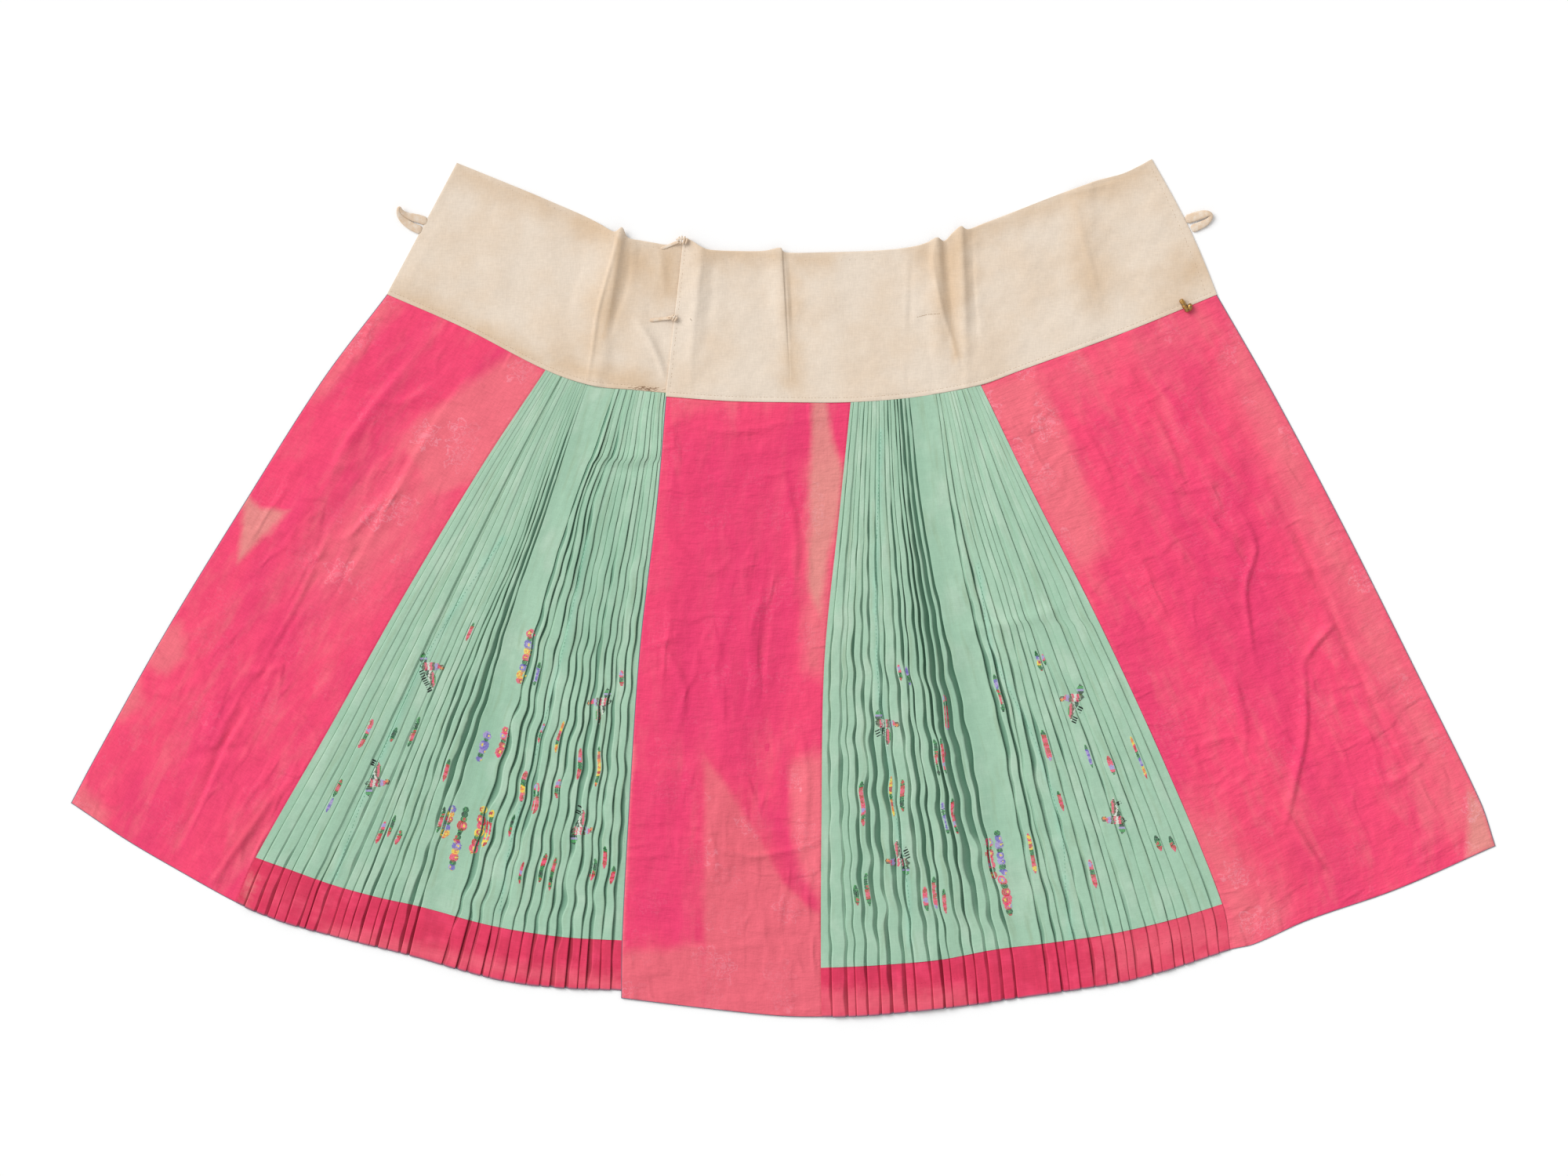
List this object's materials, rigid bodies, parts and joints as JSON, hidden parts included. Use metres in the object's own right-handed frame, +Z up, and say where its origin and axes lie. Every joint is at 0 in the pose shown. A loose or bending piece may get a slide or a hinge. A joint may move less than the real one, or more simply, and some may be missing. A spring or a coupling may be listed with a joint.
{
  "type": "horse-face skirt laid flat",
  "caption": "Pleated wrap skirt laid flat: two overlapping halves, each with flat panels, a knife-pleated gore with a hem border, and a wide cotton waistband with a tape loop.",
  "frame": {"origin": "on the surface the skirt lies on, under the middle of its laid outline", "axes": "+X along the waist, towards the right end of the laid skirt; +Y from hem to waist; +Z up from the surface"},
  "size_m": [1.726, 1.0392, 0.011],
  "materials": {
    "cotton_band": "matt plain-woven cotton",
    "cotton_tape": "matt folded cotton tape",
    "silk_pink": "soft sheen of faded figured silk",
    "silk_green": "soft sheen of plain silk",
    "silk_border": "soft sheen of plain silk",
    "brass": "worn brass"
  },
  "bodies": {
    "root": {"waistband_left": "cotton_band", "waistband_right": "cotton_band", "panel_left": "silk_pink", "gore_left": "silk_green", "hem_left": "silk_border", "under_panel": "silk_pink", "center_panel": "silk_pink", "gore_right": "silk_green", "hem_right": "silk_border", "panel_right": "silk_pink", "tie_loop_left": "cotton_tape", "tie_loop_right": "cotton_tape", "tie_knot_top": "cotton_tape", "tie_knot_mid": "cotton_tape", "waist_button": "brass"}
  },
  "joints": []
}
